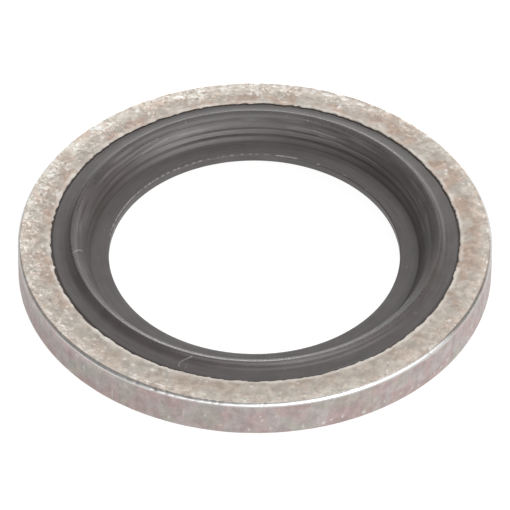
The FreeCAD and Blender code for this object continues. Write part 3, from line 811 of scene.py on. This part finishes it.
# ---- floor ----------------------------------------------------------------
FLOOR_SHINE = 0.734
floor_z = -(HT + 0.34) * MM - 0.00002
size, cells = 0.9, 24
verts = [
    ((i / cells - 0.5) * size, (j / cells - 0.5) * size, floor_z) for j in range(cells + 1) for i in range(cells + 1)
]
faces = [
    (j * (cells + 1) + i, j * (cells + 1) + i + 1, (j + 1) * (cells + 1) + i + 1, (j + 1) * (cells + 1) + i)
    for j in range(cells) for i in range(cells)
]
floor_mesh = bpy.data.meshes.new("Floor")
floor_mesh.from_pydata(verts, [], faces)
floor = bpy.data.objects.new("Floor", floor_mesh)
bpy.context.scene.collection.objects.link(floor)
floor_mat = bpy.data.materials.new("pale_floor")
floor_mat.use_nodes = True
floor_mat.cycles.emission_sampling = "NONE"
k = Nodes(floor_mat.node_tree)
seen = k.add("ShaderNodeAddShader")
matt = k.add("ShaderNodeBsdfDiffuse")
matt.inputs["Color"].default_value = (0.30, 0.30, 0.30, 1.0)
glow = k.add("ShaderNodeEmission")
glow.inputs["Color"].default_value = (1.0, 1.0, 1.0, 1.0)
glow.inputs["Strength"].default_value = 0.93
k.tree.links.new(matt.outputs[0], seen.inputs[0])
k.tree.links.new(glow.outputs[0], seen.inputs[1])
bounce = k.add("ShaderNodeEmission")
bounce.inputs["Color"].default_value = (1.0, 1.0, 1.0, 1.0)
bounce.inputs["Strength"].default_value = FLOOR_SHINE
pick = k.add("ShaderNodeMixShader")
k.tree.links.new(k.add("ShaderNodeLightPath").outputs["Is Camera Ray"], pick.inputs["Fac"])
k.tree.links.new(bounce.outputs[0], pick.inputs[1])
k.tree.links.new(seen.outputs[0], pick.inputs[2])
out = k.add("ShaderNodeOutputMaterial")
k.tree.links.new(pick.outputs[0], out.inputs["Surface"])
floor.data.materials.append(floor_mat)


# ---- studio light: one even tent with soft panels -------------------------
# azimuth, elevation, sharpness, brightness
TENT = 0.200
PANELS = (
    (80, 3, 35, 3.38),
    (0, 64, 35, 2.79),
    (310, 17, 35, 2.75),
    (290, 17, 35, 2.13),
    (90, 17, 35, 1.93),
    (270, 78, 35, 1.91),
    (100, 3, 35, 1.63),
    (240, 3, 35, 1.36),
    (260, 3, 35, 1.14),
    (330, 17, 35, 1.12),
    (50, 17, 35, 1.03),
    (350, 17, 35, 0.93),
    (280, 3, 35, 0.78),
    (270, 17, 35, 0.77),
    (90, 64, 35, 0.70),
    (60, 3, 35, 0.62),
    (105, 48, 35, 0.44),
    (120, 3, 35, 0.26),
    (75, 48, 35, 0.23),
    (230, 17, 35, 0.21),
    (0, 3, 35, 0.10),
    (40, 3, 35, 0.08),
)
world = bpy.data.worlds.new("Studio")
world.use_nodes = True
k = Nodes(world.node_tree)
direction = k.add("ShaderNodeTexCoord").outputs["Generated"]
total = TENT
for azimuth, elevation, sharp, bright in PANELS:
    a, e = math.radians(azimuth), math.radians(elevation)
    axis = (math.cos(a) * math.cos(e), math.sin(a) * math.cos(e), math.sin(e))
    near = k.vec("DOT_PRODUCT", direction, axis)
    lobe = k.math("EXPONENT", k.math("MULTIPLY", k.math("SUBTRACT", near, 1.0), sharp))
    total = k.math("ADD", k.math("MULTIPLY", lobe, bright), total)
tent = k.add("ShaderNodeBackground")
tent.inputs["Color"].default_value = (1.0, 1.0, 1.0, 1.0)
k.put(total, tent.inputs["Strength"])
white = k.add("ShaderNodeBackground")
white.inputs["Color"].default_value = (1.0, 1.0, 1.0, 1.0)
white.inputs["Strength"].default_value = 1.0
pick = k.add("ShaderNodeMixShader")
k.tree.links.new(k.add("ShaderNodeLightPath").outputs["Is Camera Ray"], pick.inputs["Fac"])
k.tree.links.new(tent.outputs[0], pick.inputs[1])
k.tree.links.new(white.outputs[0], pick.inputs[2])
out = k.add("ShaderNodeOutputWorld")
k.tree.links.new(pick.outputs[0], out.inputs["Surface"])
bpy.context.scene.world = world


# ---- camera ---------------------------------------------------------------
cam_data = bpy.data.cameras.new("Camera")
cam = bpy.data.objects.new("Camera", cam_data)
bpy.context.scene.collection.objects.link(cam)
cam_data.sensor_width = 36.0
cam_data.lens = 460.1
cam_data.clip_start = 0.01
elev, roll, distance = math.radians(42.905), 0.0056455, 327.52
right = Vector((1.0, 0.0, 0.0))
up = Vector((0.0, math.sin(elev), math.cos(elev)))
back = Vector((0.0, -math.cos(elev), math.sin(elev)))
across = right * math.cos(roll) + up * math.sin(roll)
upward = up * math.cos(roll) - right * math.sin(roll)
place = (back * distance - upward * 0.071) * MM
turn = Matrix((across, upward, back)).transposed().to_4x4()
cam.matrix_world = Matrix.Translation(place) @ turn
bpy.context.scene.camera = cam

view = bpy.context.scene.view_settings
view.view_transform = "Standard"
view.look = "None"
view.exposure = 0.0
view.gamma = 1.0
